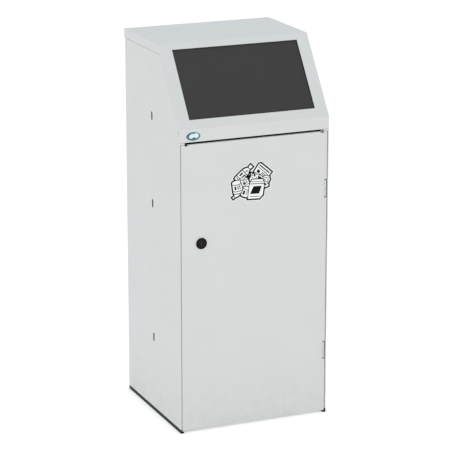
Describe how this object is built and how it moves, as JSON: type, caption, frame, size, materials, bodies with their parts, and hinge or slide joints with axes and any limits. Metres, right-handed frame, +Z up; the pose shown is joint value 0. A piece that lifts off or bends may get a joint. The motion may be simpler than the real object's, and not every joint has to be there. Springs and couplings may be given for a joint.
{
  "type": "recyclables collector cabinet",
  "caption": "Free-standing sheet-steel collector for recyclable waste with a sprung push-in flap in a sloping hood, a locked front door and a lift-out liner.",
  "frame": {"origin": "on the floor under the middle of the bounding box", "axes": "+Z up; the door faces -Y; +X is to the right seen from the front"},
  "size_m": [0.39, 0.363, 0.94],
  "materials": {
    "paint": "fine textured light grey powder coat, satin",
    "flap_paint": "smooth anthracite grey powder coat, satin",
    "black_plastic": "satin black moulded",
    "rubber": "matt black",
    "nylon": "natural nylon",
    "nickel": "black nickel plated, brushed",
    "zinc_steel": "bright zinc plated",
    "spring_steel": "drawn spring wire",
    "galvanised": "hot-dip galvanised with spangle",
    "label_film": "white vinyl film with black print",
    "badge_plastic": "gloss teal resin"
  },
  "bodies": {
    "cabinet": {"hood": "paint", "left_side_panel": "paint", "right_side_panel": "paint", "left_door_stop": "paint", "right_door_stop": "paint", "rear_panel": "paint", "floor_pan": "paint", "left_base_skid": "black_plastic", "right_base_skid": "black_plastic", "upper_hinge_cabinet_leaf": "paint", "lower_hinge_cabinet_leaf": "paint", "upper_hinge_pin": "zinc_steel", "lower_hinge_pin": "zinc_steel", "upper_door_pad": "rubber", "lower_door_pad": "rubber", "oval_badge": "badge_plastic", "flap_pivot_rod": "zinc_steel", "left_pivot_bracket": "paint", "right_pivot_bracket": "paint", "left_pivot_bush": "nylon", "right_pivot_bush": "nylon", "left_spring_collar": "zinc_steel", "right_spring_collar": "zinc_steel", "left_flap_pad": "rubber", "right_flap_pad": "rubber"},
    "door": {"door_panel": "paint", "door_stiffener": "paint", "upper_hinge_door_leaf": "paint", "lower_hinge_door_leaf": "paint", "lock_rosette": "black_plastic", "lock_nut": "zinc_steel", "pictogram_label": "label_film"},
    "lock": {"lock_plug": "nickel", "lock_cam": "zinc_steel", "lock_cam_screw": "zinc_steel"},
    "flap": {"inlet_flap": "flap_paint", "left_flap_spring": "spring_steel", "right_flap_spring": "spring_steel"},
    "liner": {"waste_liner": "galvanised", "left_handle_bracket": "zinc_steel", "right_handle_bracket": "zinc_steel"},
    "left_handle": {"left_liner_handle": "zinc_steel"},
    "right_handle": {"right_liner_handle": "zinc_steel"}
  },
  "joints": [
    {"name": "door_hinge", "type": "hinge", "parent": "cabinet", "child": "door", "pos_m": [0.187, -0.1755, 0.36], "axis": [0, 0, 1], "range_deg": [0, 110]},
    {"name": "flap_hinge", "type": "hinge", "parent": "cabinet", "child": "flap", "pos_m": [0, -0.04295, 0.93057], "axis": [1, 0, 0], "range_deg": [0, 65], "stiffness_Nm_per_rad": 0.35, "springref_deg": -160.43},
    {"name": "lock_turn", "type": "hinge", "parent": "door", "child": "lock", "pos_m": [-0.1395, -0.1785, 0.4765], "axis": [0, 1, 0], "range_deg": [0, 90]},
    {"name": "liner_lift", "type": "slide", "parent": "cabinet", "child": "liner", "axis": [0, 0, 1], "range_m": [0, 0.025]},
    {"name": "left_handle_swing", "type": "hinge", "parent": "liner", "child": "left_handle", "pos_m": [-0.1593, 0.0035, 0.6485], "axis": [0, -1, 0], "range_deg": [0, 180]},
    {"name": "right_handle_swing", "type": "hinge", "parent": "liner", "child": "right_handle", "pos_m": [0.1593, 0.0035, 0.6485], "axis": [0, 1, 0], "range_deg": [0, 180]}
  ]
}
